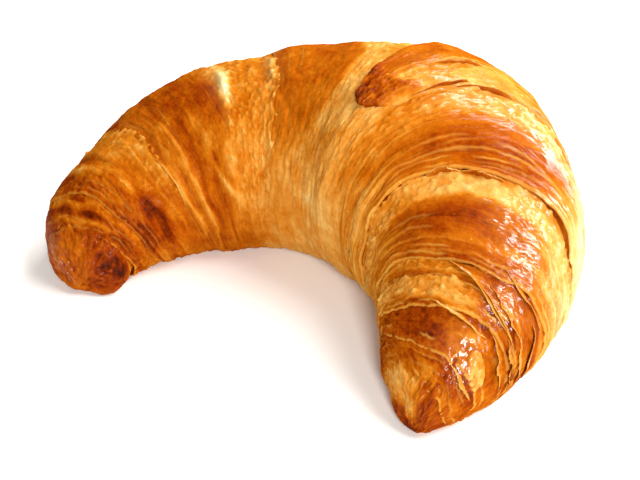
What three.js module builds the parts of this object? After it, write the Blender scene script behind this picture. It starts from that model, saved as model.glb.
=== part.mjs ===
// A baked crescent roll, lying on its flat underside with both horns pointing to -Y.
// Lengths are in millimetres and +Z is up. The longest extent, horn side to horn side, runs along X.
// The body is one closed surface: a rounded section is carried along a bent middle line.
// Two coordinates name a place on it. "along" goes from -1 at the left horn to 1 at the right horn.
// "turn" is an angle in degrees: 0 on the outer side, 90 on the top, 180 on the inner side, 270 below.
import * as THREE from "three";

// Middle line
const LENGTH_ALONG = 202;                            // length of the middle line
const BEND = [1.94, 0.14, -0.25, -0.12, 0.12];       // heading in radians: powers 1 to 5 of "along"

// Half width of the section, at these places along the middle line
const WIDTH_AT = [-1, -0.95, -0.88, -0.7, -0.45, -0.2, 0, 0.2, 0.45, 0.7, 0.88, 0.95, 1];
const HALF_WIDTH = [12.2, 13.6, 16, 21.6, 27.8, 30.4, 33, 34.8, 30.8, 22.3, 15, 11.4, 8.4];
const SIDE_SHIFT = [-4, -2.6, -0.8, 0.4, 0.1, -0.1, 0.3, 0.3, 1.2, 0.2, -1.6, -0.4, 1.2];    // outwards
const HEIGHT_RATIO_MIDDLE = 0.94;                    // half height over half width in the middle
const HEIGHT_RATIO_HORN = 0.81;                      // and at the horns
const SQUARENESS = 2.15;                             // exponent of the section, 2 is an ellipse
const SIT_DEPTH = 0.86;                              // share of the half height that is above the table
const HORN_ROUNDING = 14;                            // a higher power closes the horn ends more bluntly
const HORN_LIFT = 0.45;                              // how far the end points stay up, 0 is on the table

// The dough is rolled up from a triangle, so its layers end in steps across the arms.
// Every step is given by its place along at these angles, and by its drop towards the horn.
const STEP_ANGLES = [-60, 0, 60, 120, 180, 240];
const LEFT_STEPS = [
  { along: [-0.36, -0.33, -0.28, -0.24, -0.25, -0.17], drop: 3.0 },
  { along: [-0.68, -0.66, -0.6, -0.622, -0.573, -0.45], drop: 1.6 },
  { along: [-0.74, -0.72, -0.68, -0.677, -0.63, -0.52], drop: 1.2 },
  { along: [-0.88, -0.87, -0.862, -0.862, -0.82, -0.7], drop: 1.6 },
  { along: [-0.92, -0.925, -0.93, -0.912, -0.85, -0.77], drop: 1.2 },
  { along: [-0.96, -0.96, -0.955, -0.935, -0.893, -0.83], drop: 1.0 },
];
const RIGHT_STEPS = [
  { along: [0.68, 0.64, 0.578, 0.55, 0.55, 0.48], drop: 2.6 },
  { along: [0.75, 0.742, 0.74, 0.72, 0.69, 0.62], drop: 2.0 },
  { along: [0.86, 0.825, 0.795, 0.775, 0.76, 0.72], drop: 1.2 },
  { along: [0.88, 0.84, 0.823, 0.84, 0.8, 0.76], drop: 1.4 },
  { along: [0.91, 0.9, 0.9, 0.898, 0.86, 0.83], drop: 1.2 },
  { along: [0.95, 0.953, 0.96, 0.958, 0.935, 0.92], drop: 1.0 },
];
const STEP_SOFTNESS = 1.0;                           // length over which a step drops
const STEP_REACH = 9;                                // length over which a layer swells up to its step

// The last layer ends in a tongue that comes over the top from behind.
const TONGUE_TIP_TURN = 125;
const TONGUE_LEFT = [0.06, 0.09, 0.105, 0.104, 0.12];    // left border at the angles below
const TONGUE_RIGHT = [0.43, 0.39, 0.335, 0.32, 0.28];    // right border
const TONGUE_ANGLES = [20, 44, 64, 90, 112];
const TONGUE_HEIGHT = 1.7;

// Fine unevenness of the crust
const BLISTER = 0.35;
const RIB = 0.3;

// Facets
const MIDDLE_COLUMNS = 82;                           // between the places -0.9 and 0.9
const HORN_COLUMNS = 8;                              // from there to each end
const HORN_START = 0.9;
const TOP_FACETS = 36;                               // around the part that is clear of the table
const FLAT_FACETS = 4;                               // across the flat underside
const CONTACT_ANGLE = 58;                            // how far below the sides the section meets the table

const radians = (degrees) => (degrees * Math.PI) / 180;
const smooth = (low, high, x) => {
  const t = Math.min(1, Math.max(0, (x - low) / (high - low)));
  return t * t * (3 - 2 * t);
};

// Smooth curve through points that never overshoots between them.
function throughPoints(xs, ys, x) {
  const last = xs.length - 1;
  if (x <= xs[0]) {
    return ys[0];
  }
  if (x >= xs[last]) {
    return ys[last];
  }
  let i = 0;
  while (x > xs[i + 1]) {
    i += 1;
  }
  const rise = (j) => (ys[j + 1] - ys[j]) / (xs[j + 1] - xs[j]);
  const slope = (j) => {
    if (j === 0) {
      return rise(0);
    }
    if (j === last) {
      return rise(last - 1);
    }
    const before = rise(j - 1);
    const after = rise(j);
    return before * after > 0 ? (2 * before * after) / (before + after) : 0;
  };
  const span = xs[i + 1] - xs[i];
  const t = (x - xs[i]) / span;
  const t2 = t * t;
  const t3 = t2 * t;
  return (
    (2 * t3 - 3 * t2 + 1) * ys[i] +
    (t3 - 2 * t2 + t) * span * slope(i) +
    (3 * t2 - 2 * t3) * ys[i + 1] +
    (t3 - t2) * span * slope(i + 1)
  );
}

// Heading of the middle line: the polynomial of the constants above.
const heading = (along) => -BEND.reduce((sum, k, i) => sum + k * along ** (i + 1), 0);

// Point of the middle line, summed from the middle of the roll in short straight pieces.
function middlePoint(along) {
  const pieces = 200;
  const step = along / pieces;
  let x = 0;
  let y = 0;
  for (let i = 0; i < pieces; i += 1) {
    const angle = heading((i + 0.5) * step);
    x += (Math.cos(angle) * step * LENGTH_ALONG) / 2;
    y += (Math.sin(angle) * step * LENGTH_ALONG) / 2;
  }
  return [x, y];
}

// Raised on the side of a step that faces the middle, lowered past it, fading with the distance.
function stepRelief(steps, side, along, turn, size) {
  return steps.reduce((sum, step) => {
    const place = throughPoints(STEP_ANGLES, step.along, turn);
    const distance = ((place - along) * side * LENGTH_ALONG) / 2;
    const flank = 1 / (1 + Math.exp(-distance / STEP_SOFTNESS)) - 0.5;
    return sum + step.drop * size * flank * Math.exp(-Math.abs(distance) / STEP_REACH);
  }, 0);
}

// The tongue lifts the surface between its two borders, above its rounded tip.
function tongueRelief(along, turn) {
  const left = throughPoints(TONGUE_ANGLES, TONGUE_LEFT, turn);
  const right = throughPoints(TONGUE_ANGLES, TONGUE_RIGHT, turn);
  const inside = (Math.min(along - left, right - along) * LENGTH_ALONG) / 2;
  const pastTip = smooth(TONGUE_TIP_TURN - 6, TONGUE_TIP_TURN, turn);
  const fadeBehind = smooth(0, 70, turn);
  return TONGUE_HEIGHT * smooth(-0.6, 0.9, inside) * (1 - pastTip) * fadeBehind;
}

// Low bumps of the crust, and ribs that run around the arms like the layers.
function crustRelief(along, turn) {
  const around = radians(turn);
  const bumps = Math.sin(along * 31 + 2.1 * Math.sin(around * 3)) * Math.sin(around * 5 + along * 17);
  const ribs = Math.sin(along * 95 + 1.3 * Math.sin(around * 2)) * smooth(0.25, 0.6, Math.abs(along));
  return BLISTER * bumps + RIB * ribs;
}

// Angles around the section: even steps over the free part, a few across the flat underside.
function turnAngles() {
  const angles = [];
  for (let i = 0; i <= TOP_FACETS; i += 1) {
    angles.push(-CONTACT_ANGLE + (i * (180 + 2 * CONTACT_ANGLE)) / TOP_FACETS);
  }
  for (let i = 1; i < FLAT_FACETS; i += 1) {
    angles.push(180 + CONTACT_ANGLE + (i * (180 - 2 * CONTACT_ANGLE)) / FLAT_FACETS);
  }
  return angles;
}

// Places along the middle line, closer together where the horns close.
function columnPlaces() {
  const places = [];
  for (let i = HORN_COLUMNS - 1; i > 0; i -= 1) {
    places.push(-1 + (1 - HORN_START) * (1 - i / HORN_COLUMNS) ** 2);
  }
  for (let i = 0; i <= MIDDLE_COLUMNS; i += 1) {
    places.push(-HORN_START + (2 * HORN_START * i) / MIDDLE_COLUMNS);
  }
  for (let i = 1; i < HORN_COLUMNS; i += 1) {
    places.push(1 - (1 - HORN_START) * (1 - i / HORN_COLUMNS) ** 2);
  }
  return places;
}

function signedPower(value, power) {
  return Math.sign(value) * Math.abs(value) ** power;
}

// One ring of the surface, at a place along the middle line.
function ring(along, angles) {
  const [x, y] = middlePoint(along);
  const angle = heading(along);
  const closing = Math.sqrt(Math.max(0, 1 - Math.abs(along) ** HORN_ROUNDING));
  const fullWidth = throughPoints(WIDTH_AT, HALF_WIDTH, along);
  const shift = throughPoints(WIDTH_AT, SIDE_SHIFT, along);
  const ratio = throughPoints([-1, 0, 1], [HEIGHT_RATIO_HORN, HEIGHT_RATIO_MIDDLE, HEIGHT_RATIO_HORN], along);
  const fullHeight = fullWidth * ratio;
  const sit = SIT_DEPTH * fullHeight * (HORN_LIFT + (1 - HORN_LIFT) * closing);
  // The relief gets lower where the horns are thinner than this width, and stops underneath.
  const thinHorn = 22;
  const size = Math.min(1, fullWidth / thinHorn) * closing;
  return angles.map((turn) => {
    const clearOfTable = turn > 240 ? 0 : 1;
    const steps = along < 0
      ? stepRelief(LEFT_STEPS, -1, along, turn, size)
      : stepRelief(RIGHT_STEPS, 1, along, turn, size);
    const relief = clearOfTable * (steps + (tongueRelief(along, turn) + crustRelief(along, turn)) * size);
    const sideways = signedPower(Math.cos(radians(turn)), 2 / SQUARENESS);
    const upwards = signedPower(Math.sin(radians(turn)), 2 / SQUARENESS);
    const across = sideways * (fullWidth * closing + relief) + shift;
    const height = Math.max(0, upwards * (fullHeight * closing + relief) + sit);
    return [x - Math.sin(angle) * across, y + Math.cos(angle) * across, height];
  });
}

// The closed surface: rings joined by facets, and one end point per horn.
function crescentGeometry() {
  const angles = turnAngles();
  const rings = columnPlaces().map((along) => ring(along, angles));
  const around = angles.length;
  const points = rings.flat();
  const endPoint = (along) => {
    const [x, y] = middlePoint(along);
    const angle = heading(along);
    const width = throughPoints(WIDTH_AT, HALF_WIDTH, along);
    const shift = throughPoints(WIDTH_AT, SIDE_SHIFT, along);
    const height = SIT_DEPTH * width * HEIGHT_RATIO_HORN * HORN_LIFT;
    return [x - Math.sin(angle) * shift, y + Math.cos(angle) * shift, height];
  };
  const leftEnd = points.push(endPoint(-1)) - 1;
  const rightEnd = points.push(endPoint(1)) - 1;
  const faces = [];
  for (let i = 0; i + 1 < rings.length; i += 1) {
    for (let j = 0; j < around; j += 1) {
      const next = (j + 1) % around;
      const a = i * around + j;
      const b = i * around + next;
      const c = (i + 1) * around + next;
      const d = (i + 1) * around + j;
      faces.push(a, c, d, a, b, c);
    }
  }
  const lastRing = (rings.length - 1) * around;
  for (let j = 0; j < around; j += 1) {
    const next = (j + 1) % around;
    faces.push(leftEnd, next, j);
    faces.push(rightEnd, lastRing + j, lastRing + next);
  }
  const geometry = new THREE.BufferGeometry();
  geometry.setAttribute("position", new THREE.Float32BufferAttribute(points.flat(), 3));
  geometry.setIndex(faces);
  geometry.computeBoundingBox();
  const box = geometry.boundingBox;
  geometry.translate(-(box.min.x + box.max.x) / 2, -(box.min.y + box.max.y) / 2, -box.min.z);
  geometry.computeVertexNormals();
  return geometry;
}

const crust = new THREE.MeshStandardMaterial({ color: 0xc4701c, roughness: 0.5, metalness: 0 });
const croissant = new THREE.Mesh(crescentGeometry(), crust);
croissant.name = "croissant";

const group = new THREE.Group();
group.name = "crescent_roll";
group.add(croissant);

export default group;
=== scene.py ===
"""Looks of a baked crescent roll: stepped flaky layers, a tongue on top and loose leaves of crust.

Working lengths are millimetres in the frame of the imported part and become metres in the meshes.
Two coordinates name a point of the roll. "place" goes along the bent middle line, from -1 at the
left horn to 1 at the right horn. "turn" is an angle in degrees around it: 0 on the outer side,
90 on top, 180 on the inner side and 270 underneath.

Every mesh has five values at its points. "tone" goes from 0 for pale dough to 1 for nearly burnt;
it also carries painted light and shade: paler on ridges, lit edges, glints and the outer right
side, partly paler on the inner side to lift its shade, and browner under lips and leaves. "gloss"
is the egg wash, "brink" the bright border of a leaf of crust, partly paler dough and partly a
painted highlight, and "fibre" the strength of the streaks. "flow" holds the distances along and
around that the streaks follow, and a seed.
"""

import math

import bpy
import numpy as np
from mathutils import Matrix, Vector


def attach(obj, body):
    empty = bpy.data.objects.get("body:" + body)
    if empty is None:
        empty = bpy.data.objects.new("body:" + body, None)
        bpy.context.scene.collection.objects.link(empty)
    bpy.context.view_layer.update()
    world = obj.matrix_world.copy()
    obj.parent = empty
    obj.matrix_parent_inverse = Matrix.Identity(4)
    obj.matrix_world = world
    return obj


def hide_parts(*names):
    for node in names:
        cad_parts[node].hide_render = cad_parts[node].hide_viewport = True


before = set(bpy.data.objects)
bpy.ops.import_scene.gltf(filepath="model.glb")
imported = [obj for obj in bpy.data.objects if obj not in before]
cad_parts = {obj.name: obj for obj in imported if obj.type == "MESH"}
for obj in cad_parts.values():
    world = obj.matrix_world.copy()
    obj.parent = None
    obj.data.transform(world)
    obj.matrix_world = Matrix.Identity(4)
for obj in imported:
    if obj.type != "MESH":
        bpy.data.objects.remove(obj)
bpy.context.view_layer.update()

METRE = 0.001

# Smooth form of the roll
LENGTH_ALONG = 202.0
BEND = (1.94, 0.14, -0.25, -0.12, 0.12)
WIDTH_AT = (-1, -0.95, -0.88, -0.7, -0.45, -0.2, 0, 0.2, 0.45, 0.7, 0.88, 0.95, 1)
HALF_WIDTH = (12.2, 13.6, 16, 21.6, 27.8, 30.4, 33, 34.8, 30.8, 22.3, 15, 11.4, 8.4)
SIDE_SHIFT = (-4, -2.6, -0.8, 0.4, 0.1, -0.1, 0.3, 0.3, 1.2, 0.2, -1.6, -0.4, 1.2)
HEIGHT_RATIO = (0.81, 0.94, 0.81)
SQUARENESS = 2.15
SIT_DEPTH = 0.86
HORN_ROUNDING = 14
HORN_LIFT = 0.45
FRAME_CENTRE = (0.014, 18.919)
HALF_LENGTH = LENGTH_ALONG / 2
THIN_HORN = 22.0

# Rows clear of the table and the few underneath, as first turn, last turn and count
FREE_ROWS = (-62, 242, 290)
FLAT_ROWS = (250, 290, 6)

# Where the layers end, as places at these turns
EDGE_TURNS = (-60, 0, 60, 120, 180, 240, 300)
EDGES = {
    "left_0": (-0.36, -0.33, -0.28, -0.24, -0.25, -0.17, -0.36),
    "left_1": (-0.74, -0.72, -0.68, -0.677, -0.63, -0.52, -0.74),
    "left_2": (-0.88, -0.87, -0.862, -0.862, -0.82, -0.7, -0.88),
    "left_3": (-0.92, -0.925, -0.93, -0.912, -0.85, -0.77, -0.92),
    "left_4": (-0.96, -0.96, -0.955, -0.935, -0.893, -0.83, -0.96),
    "right_0": (0.68, 0.64, 0.566, 0.508, 0.54, 0.48, 0.68),
    "right_1": (0.75, 0.742, 0.74, 0.72, 0.69, 0.62, 0.75),
    "right_2": (0.86, 0.825, 0.795, 0.775, 0.76, 0.72, 0.86),
    "right_3": (0.88, 0.84, 0.823, 0.84, 0.8, 0.76, 0.88),
    "right_4": (0.91, 0.9, 0.9, 0.898, 0.86, 0.83, 0.91),
    "right_5": (0.95, 0.953, 0.96, 0.958, 0.935, 0.92, 0.95),
}
STEP_REACH = 9.0

# Each layer: its two borders from left to right, its noise seed and its number of rings. The border
# that faces the nearer horn is free, the other one is tucked under the neighbour. The middle layer
# lies on top and is free on both sides.
LAYERS = (
    {"name": "left_layer_1", "low": "left_1", "high": "left_0", "seed": 3, "columns": 200},
    {"name": "left_layer_2", "low": "left_2", "high": "left_1", "seed": 5, "columns": 130},
    {"name": "left_layer_3", "low": "left_3", "high": "left_2", "seed": 7, "columns": 64},
    {"name": "left_layer_4", "low": "left_4", "high": "left_3", "seed": 11, "columns": 64},
    {"name": "middle_layer", "low": "left_0", "high": "right_0", "seed": 13, "columns": 290},
    {"name": "right_layer_1", "low": "right_0", "high": "right_1", "seed": 17, "columns": 130},
    {"name": "right_layer_2", "low": "right_1", "high": "right_2", "seed": 19, "columns": 70},
    {"name": "right_layer_3", "low": "right_2", "high": "right_3", "seed": 23, "columns": 70},
    {"name": "right_layer_4", "low": "right_3", "high": "right_4", "seed": 29, "columns": 70},
    {"name": "right_layer_5", "low": "right_4", "high": "right_5", "seed": 31, "columns": 70},
)
# At each free edge: the thickness of the lip and the thin leaves stacked up to it, as (distance from
# the edge, drop)
EDGE_STACKS = {
    "left_0": (0.7, ((2.0, 0.25), (4.4, 0.3), (7.6, 0.3))),
    "left_1": (0.5, ((1.6, 0.2), (3.4, 0.25), (5.2, 0.25), (7.2, 0.35))),
    "left_2": (1.1, ((1.6, 0.3), (3.4, 0.25))),
    "left_3": (0.9, ((1.3, 0.25),)),
    "left_4": (0.8, ((1.4, 0.2),)),
    "right_0": (1.3, ((1.3, 0.3), (2.6, 0.3), (3.9, 0.3), (5.2, 0.4))),
    "right_1": (1.0, ((1.3, 0.35), (2.8, 0.25))),
    "right_2": (0.8, ((1.2, 0.3),)),
    "right_3": (1.1, ((1.5, 0.3), (3.0, 0.25))),
    "right_4": (1.0, ((1.6, 0.3),)),
    "right_5": (0.9, ((1.3, 0.25),)),
}
# Where free edges curl up: (turn, spread in turns, height)
EDGE_LIFTS = {
    "right_0": ((36, 22, 1.0), (95, 40, 0.2)),
    "right_1": ((45, 40, 0.4),),
    "right_2": ((48, 38, 1.3),),
    "right_3": ((60, 30, 0.9), (10, 25, 0.8)),
    "right_4": ((70, 50, 0.4),),
    "left_0": ((95, 45, -0.5), (5, 30, 0.9)),
    "left_1": ((70, 40, -0.5), (5, 30, 0.8)),
    "left_2": ((5, 30, 0.6),),
    "left_3": ((60, 40, 0.3),),
}
# Length that a tucked border runs on under its neighbour, size of the waves of an edge, and the arc
# of a lip in degrees
TUCK = 5.0
EDGE_WAVE = 0.9
LIP_ANGLES = (62, 38, 14, -12, -35, -60, -88)

# The tongue, the pointed end of the dough that comes over the top from behind
TONGUE_TURNS = (-50, 20, 44, 64, 90, 112, 125)
TONGUE_LEFT = (0.02, 0.06, 0.09, 0.105, 0.104, 0.122, 0.15)
TONGUE_RIGHT = (0.5, 0.43, 0.39, 0.345, 0.322, 0.285, 0.265)
TONGUE_TIP = 125.0
TONGUE_THICK = 1.6
TONGUE_START = -50
TONGUE_GRID = (160, 260)
# Thin leaves at its right border: distance from it and drop
TONGUE_LEAVES = ((10.5, 0.35), (8.2, 0.3), (5.6, 0.35), (2.6, 0.35))

# Distance that one radian of turn stands for, on the middle of the roll, the tongue and the horns
MIDDLE_RADIUS = 28
TONGUE_RADIUS = 30
HORN_RADIUS = 18

# Camera of the photograph
CAMERA_AZIMUTH = 30.09
CAMERA_ELEVATION = 34.43
CAMERA_DISTANCE = 0.2867
CAMERA_TARGET = (0.00539, -0.01411, 0.0176)
FOCAL_PIXELS = 1064.8
IMAGE_WIDTH = 640
SENSOR_WIDTH = 36.0


def smooth(low, high, x):
    """0 below low, 1 above high, and a cubic ease 3t^2 - 2t^3 between them."""
    t = np.clip((x - low) / (high - low), 0.0, 1.0)
    return t * t * (3 - 2 * t)


def bell(x, middle, spread):
    """1 at the middle and falling off as exp(-d^2), d being the distance in spreads."""
    return np.exp(-(((x - middle) / spread) ** 2))


def spots(table, place, turn):
    """Sum of round spots: the share of each row times a bell of the place and a bell of the turn."""
    total = 0.0
    for at, around, wide, spread, share in table:
        total = total + share * bell(place, at, wide) * bell(turn, around, spread)
    return total


def sigmoid_drop(inside, line, soft):
    """1 nearer to the edge than a line and 0 further in, as 1 / (1 + exp(distance / soft))."""
    return 1 / (1 + np.exp(np.clip((inside - line) / soft, -30, 30)))


def clear_of_table(turn):
    """1 on the free crust and 0 underneath, with an ease between them on both sides."""
    return smooth(246, 234, turn) * smooth(-62, -50, turn)


def through_points(xs, ys, x):
    """Cubic Hermite curve through (xs, ys); slopes are harmonic means, so it never overshoots."""
    xs = np.asarray(xs, float)
    ys = np.asarray(ys, float)
    x = np.clip(x, xs[0], xs[-1])
    rise = np.diff(ys) / np.diff(xs)
    before, after = rise[:-1], rise[1:]
    total = np.where(before + after == 0, 1.0, before + after)
    slope = np.concatenate([rise[:1], np.where(before * after > 0, 2 * before * after / total, 0), rise[-1:]])
    i = np.clip(np.searchsorted(xs, x) - 1, 0, len(xs) - 2)
    span = xs[i + 1] - xs[i]
    t = (x - xs[i]) / span
    t2, t3 = t * t, t * t * t
    return (
        (2 * t3 - 3 * t2 + 1) * ys[i]
        + (t3 - 2 * t2 + t) * span * slope[i]
        + (3 * t2 - 2 * t3) * ys[i + 1]
        + (t3 - t2) * span * slope[i + 1]
    )


def soft_noise(x, y, seed):
    """Value noise from -1 to 1: hashed corner values of a unit lattice, blended by a quintic ease."""
    x, y = np.broadcast_arrays(np.asarray(x, float), np.asarray(y, float))
    xi, yi = np.floor(x).astype(np.int64), np.floor(y).astype(np.int64)
    fx, fy = x - xi, y - yi
    fx = fx**3 * (fx * (fx * 6 - 15) + 10)
    fy = fy**3 * (fy * (fy * 6 - 15) + 10)

    def corner(i, j):
        """Hash of a lattice corner, scaled to lie between -1 and 1."""
        h = (i * 374761393 + j * 668265263 + seed * 974634777) & 0xFFFFFFFF
        h = ((h ^ (h >> 13)) * 1274126177) & 0xFFFFFFFF
        return (h ^ (h >> 16)) / 2147483647.5 - 1.0

    low = corner(xi, yi) * (1 - fx) + corner(xi + 1, yi) * fx
    high = corner(xi, yi + 1) * (1 - fx) + corner(xi + 1, yi + 1) * fx
    return low * (1 - fy) + high * fy


def layered_noise(x, y, seed, octaves=3):
    """Sum of soft_noise at doubled frequency and halved height, scaled back to about -1 to 1."""
    total = 0.0
    for k in range(octaves):
        total = total + soft_noise(x * 2**k + 17.3 * k, y * 2**k - 9.1 * k, seed + 101 * k) / 2**k
    return total / 1.5


def ridged_noise(x, y, seed, octaves=3):
    """Noise with sharp crests where layered_noise crosses zero: 1 - 2 |noise|."""
    return 1 - 2 * np.abs(layered_noise(x, y, seed, octaves))


def heading(place):
    """Direction of the middle line in radians: minus the polynomial of BEND in place."""
    return -sum(k * place ** (i + 1) for i, k in enumerate(BEND))


# Points of the middle line, added up from short straight steps and moved to the centre of the frame
LINE_PLACES = np.linspace(-1, 1, 801)
STEP_HEADINGS = heading((LINE_PLACES[1:] + LINE_PLACES[:-1]) / 2)
STEP_LENGTH = (LINE_PLACES[1] - LINE_PLACES[0]) * HALF_LENGTH
LINE_X = np.concatenate([[0], np.cumsum(np.cos(STEP_HEADINGS) * STEP_LENGTH)])
LINE_Y = np.concatenate([[0], np.cumsum(np.sin(STEP_HEADINGS) * STEP_LENGTH)])
LINE_X += FRAME_CENTRE[0] - LINE_X[400]
LINE_Y += FRAME_CENTRE[1] - LINE_Y[400]


def half_width(place):
    """Half the width of the section, on a smooth curve through HALF_WIDTH."""
    return through_points(WIDTH_AT, HALF_WIDTH, place)


def closing(place):
    """1 along the roll and falling to 0 at the horn ends, as the square root of 1 - |place|^n."""
    return np.sqrt(np.clip(1 - np.abs(place) ** HORN_ROUNDING, 0, 1))


def form_point(place, turn, height, push=0.0):
    """Point of the roll at a height over its smooth form, in metres.

    A superellipse stands on the middle line, its half width and half height grown by the height,
    and is cut off flat where it would go below the table. push moves it along the middle line.
    """
    place, turn, height = np.broadcast_arrays(place, turn, height)
    angle = heading(place)
    width = half_width(place)
    tall = width * through_points((-1, 0, 1), HEIGHT_RATIO, place)
    close = closing(place)
    sit = SIT_DEPTH * tall * (HORN_LIFT + (1 - HORN_LIFT) * close)
    relief = height * np.minimum(1, width / THIN_HORN) * close
    c, s = np.cos(np.radians(turn)), np.sin(np.radians(turn))
    across = np.sign(c) * np.abs(c) ** (2 / SQUARENESS) * (width * close + relief)
    across = across + through_points(WIDTH_AT, SIDE_SHIFT, place)
    up = np.sign(s) * np.abs(s) ** (2 / SQUARENESS) * (tall * close + relief)
    x = np.interp(place, LINE_PLACES, LINE_X) - np.sin(angle) * across + np.cos(angle) * push
    y = np.interp(place, LINE_PLACES, LINE_Y) + np.cos(angle) * across + np.sin(angle) * push
    return np.stack([x, y, np.maximum(0, up + sit)], -1) * METRE


def edge_place(name, turn, wave=1.0):
    """Place of a layer's edge at a turn: its curve plus long waves and a finer ragged line."""
    turn = np.where(turn < EDGE_TURNS[0], turn + 360, turn)
    seed = sum(ord(ch) for ch in name)
    clear = smooth(246, 232, turn) * smooth(-60, -40, turn)
    fine = 0.4 if name.startswith("left") else 1.0
    waves = soft_noise(turn / 24, 0.5, seed) + fine * 0.25 * soft_noise(turn / 8, 0.5, seed + 1)
    waves = waves + fine * 0.12 * soft_noise(turn / 2.3, 0.5, seed + 2)
    return through_points(EDGE_TURNS, EDGES[name], turn) + wave * EDGE_WAVE * waves * clear / HALF_LENGTH


def stack_drop(name):
    """Whole height of the step at an edge: the lip and all leaves stacked up to it."""
    lip, leaves = EDGE_STACKS[name]
    return lip + sum(drop for _, drop in leaves)


def leaf_steps(name, inside, turn):
    """Height lost and bright line of the leaves that end before a free edge.

    Each leaf is a sigmoid drop at its own wavering distance from the edge; the line is a narrow
    bell on the brink, partly paler dough and partly a painted highlight where the edge catches the
    light. Both come and go around the roll.
    """
    seed = 7 * sum(ord(ch) for ch in name)
    lost, brink = 0.0, 0.0
    soft = 0.34 if name.startswith("left") else 0.16
    for k, (distance, drop) in enumerate(EDGE_STACKS[name][1]):
        line = distance * (1 + 0.45 * soft_noise(turn / 40, k + 0.5, seed))
        line = line + 0.45 * soft_noise(turn / 15, k + 0.5, seed + 1)
        line = line + 0.06 * soft_noise(turn / 2, k + 0.5, seed + 2)
        there = smooth(-0.5, 0.5, soft_noise(turn / 12, k + 0.5, seed + 3))
        lost = lost + drop * (0.4 + 0.6 * there) * sigmoid_drop(inside, line, soft)
        brink = brink + there * bell(inside - line, 0.12, 0.22)
    return lost, np.clip(brink, 0, 1)


def shingles(along, around, seed, side, strength):
    """Small overlapping leaves: a saw tooth of the distance along, bent by noise, falling to one side.

    Returns the height, the bright brink and a tone of each leaf; the brink is partly paler dough
    and partly a painted highlight on the leaf's edge. A slow noise lets them come and go.
    """
    bend = 1.3 * layered_noise(along / 13, around / 45, seed, 2)
    bend = bend + 0.1 * soft_noise(along / 3, around / 9, seed + 1)
    count = side * along / 3.3 + bend
    t = count - np.floor(count)
    there = strength * smooth(-0.3, 0.6, soft_noise(along / 6, around / 10, seed + 2))
    height = there * 0.5 * (t * smooth(1.0, 0.91, t) - 0.45)
    brink = there * smooth(0.75, 0.88, t) * smooth(1.0, 0.93, t)
    shade = strength * 0.13 * soft_noise(np.floor(count) * 7.31, around / 26, seed + 3)
    return height, brink, shade


# Swellings and hollows of the whole roll: place, turn, their spreads and the height
SWELLINGS = (
    (-0.915, 12, 0.06, 30, 1.1),
    (-0.78, 50, 0.08, 26, -1.3),
    (-0.3, 90, 0.05, 30, -0.6),
    (-0.22, 82, 0.05, 32, 0.9),
)

# Oval pale flake that lies on the right horn: its place and turn, and its half axes in place and turn
FLAKE_CENTRE = (0.882, 33)
FLAKE_LONG = (0.02, -16.5)
FLAKE_SHORT = (0.0088, 9.7)


def oval_flake(place, turn):
    """1 inside the slanted oval flake and 0 outside: its two axes make a skewed frame of radius 1."""
    across, around = place - FLAKE_CENTRE[0], turn - FLAKE_CENTRE[1]
    area = FLAKE_LONG[0] * FLAKE_SHORT[1] - FLAKE_LONG[1] * FLAKE_SHORT[0]
    a = (FLAKE_SHORT[1] * across - FLAKE_SHORT[0] * around) / area
    b = (FLAKE_LONG[0] * around - FLAKE_LONG[1] * across) / area
    return smooth(1.05, 0.93, np.hypot(a, b) + 0.1 * soft_noise(place * 160, turn / 9, 33))


# Golden stripes of dough around the left arm: turns, places at them, half width in millimetres
ARM_STRIPES = (
    ((95, 132, 157, 193), (-0.7, -0.68, -0.65, -0.573), 1.2),
    ((99, 127, 154, 191), (-0.607, -0.61, -0.598, -0.528), 1.1),
    ((108, 138, 165, 187), (-0.527, -0.518, -0.468, -0.355), 1.5),
    ((86, 114, 139, 180), (-0.7, -0.716, -0.722, -0.655), 0.7),
    ((40, 70, 100, 125), (-0.79, -0.8, -0.8, -0.785), 1.2),
    ((45, 90, 119, 151), (-0.87, -0.882, -0.882, -0.865), 0.7),
    ((50, 85, 105, 147), (-0.907, -0.915, -0.91, -0.895), 0.7),
)


def arm_stripes(place, turn):
    """Share of golden stripe: the largest bell of the distance to a stripe's line, fading at its ends."""
    share = 0.0
    for turns, places, wide in ARM_STRIPES:
        away = (place - through_points(turns, places, turn)) * HALF_LENGTH
        away = away + 0.5 * soft_noise(turn / 13, 10 * wide, 61)
        uneven = 1 + 0.4 * soft_noise(turn / 9, 10 * wide, 62)
        ends = smooth(turns[0] - 12, turns[0] + 12, turn) * smooth(turns[-1] + 14, turns[-1] - 10, turn)
        share = np.maximum(share, ends * bell(away, 0, wide * uneven))
    return share


def lumps(place, turn):
    """Broad uneven form that all pieces share: two noises, the stripes, the flake and the swellings."""
    height = 0.5 * oval_flake(place, turn) + 0.4 * arm_stripes(place, turn) + spots(SWELLINGS, place, turn)
    height = height + 0.6 * layered_noise(place * 9.2, turn / 28, 5, 2)
    return height + 0.24 * layered_noise(place * 30, turn / 9.4, 6, 2)


def crust_relief(along, around, seed, arm):
    """Height of rounded ridges, ribs and short wrinkles, each a stretched noise, and the ridges alone.

    With the ridges alone the callers paint the crust paler on the ridges and browner between them,
    as painted light.
    """
    bend = 0.7 * soft_noise(along / 5, around / 9, seed + 3)
    ridges = soft_noise(along / 2.7 + bend, around / 24, seed + 4)
    ribs = 0.1 * ridged_noise(along / 2.2 + bend, around / 12, seed + 1, 2)
    wrinkles = 0.14 * ridged_noise(along / 1.3 + bend, around / 3.0, seed + 2, 2)
    return arm * (0.34 * ridges + ribs) + (0.5 + 0.5 * arm) * wrinkles, arm * ridges


def crinkles(along, around, seed):
    """Short creases that run slanting over the crust: one minus twice the size of a stretched noise."""
    return ridged_noise(along / 1.5 + around / 6, around / 4.2, seed + 9, 2)


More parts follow.
